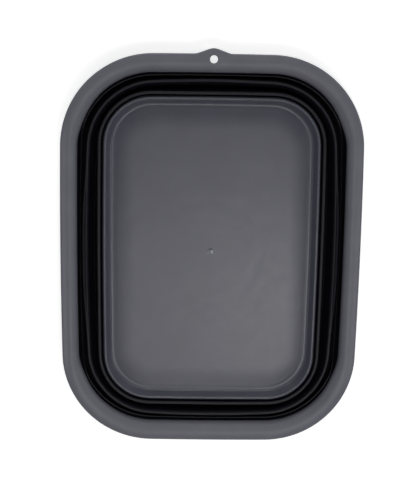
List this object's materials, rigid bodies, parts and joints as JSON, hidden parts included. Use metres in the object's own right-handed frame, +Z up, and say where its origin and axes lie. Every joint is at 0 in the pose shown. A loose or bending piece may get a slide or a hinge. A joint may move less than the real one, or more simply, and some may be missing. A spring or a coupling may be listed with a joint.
{
  "type": "collapsible washing-up bowl",
  "caption": "Collapsible washing-up bowl, folded flat: rigid rim frame with a hanging tab, pleated rubber wall that pops open in stages, and a shallow rigid base tray.",
  "frame": {"origin": "centre of the bowl on the plane that its foot ring stands on", "axes": "+Z up out of the bowl's mouth, +Y along the bowl's length towards the hanging tab, +X across its width"},
  "size_m": [0.2814, 0.3749, 0.0275],
  "materials": {
    "rim_plastic": "fine moulded satin, dark grey",
    "wall_rubber": "smooth satin black elastomer",
    "tray_plastic": "fine moulded satin, dark grey"
  },
  "bodies": {
    "base": {"base_tray": "tray_plastic", "lower_fold": "wall_rubber"},
    "inner_pleat": {"inner_wall_ring": "wall_rubber", "middle_fold": "wall_rubber"},
    "outer_pleat": {"outer_wall_ring": "wall_rubber", "upper_fold": "wall_rubber"},
    "rim": {"rim": "rim_plastic", "upper_wall_band": "wall_rubber"}
  },
  "joints": [
    {"name": "lower_stage", "type": "slide", "parent": "base", "child": "inner_pleat", "axis": [0, 0, 1], "range_m": [0, 0.03], "deforming": ["lower_fold"]},
    {"name": "middle_stage", "type": "slide", "parent": "inner_pleat", "child": "outer_pleat", "axis": [0, 0, 1], "range_m": [0, 0.0316], "deforming": ["middle_fold"]},
    {"name": "upper_stage", "type": "slide", "parent": "outer_pleat", "child": "rim", "axis": [0, 0, 1], "range_m": [0, 0.031], "deforming": ["upper_fold"]}
  ]
}
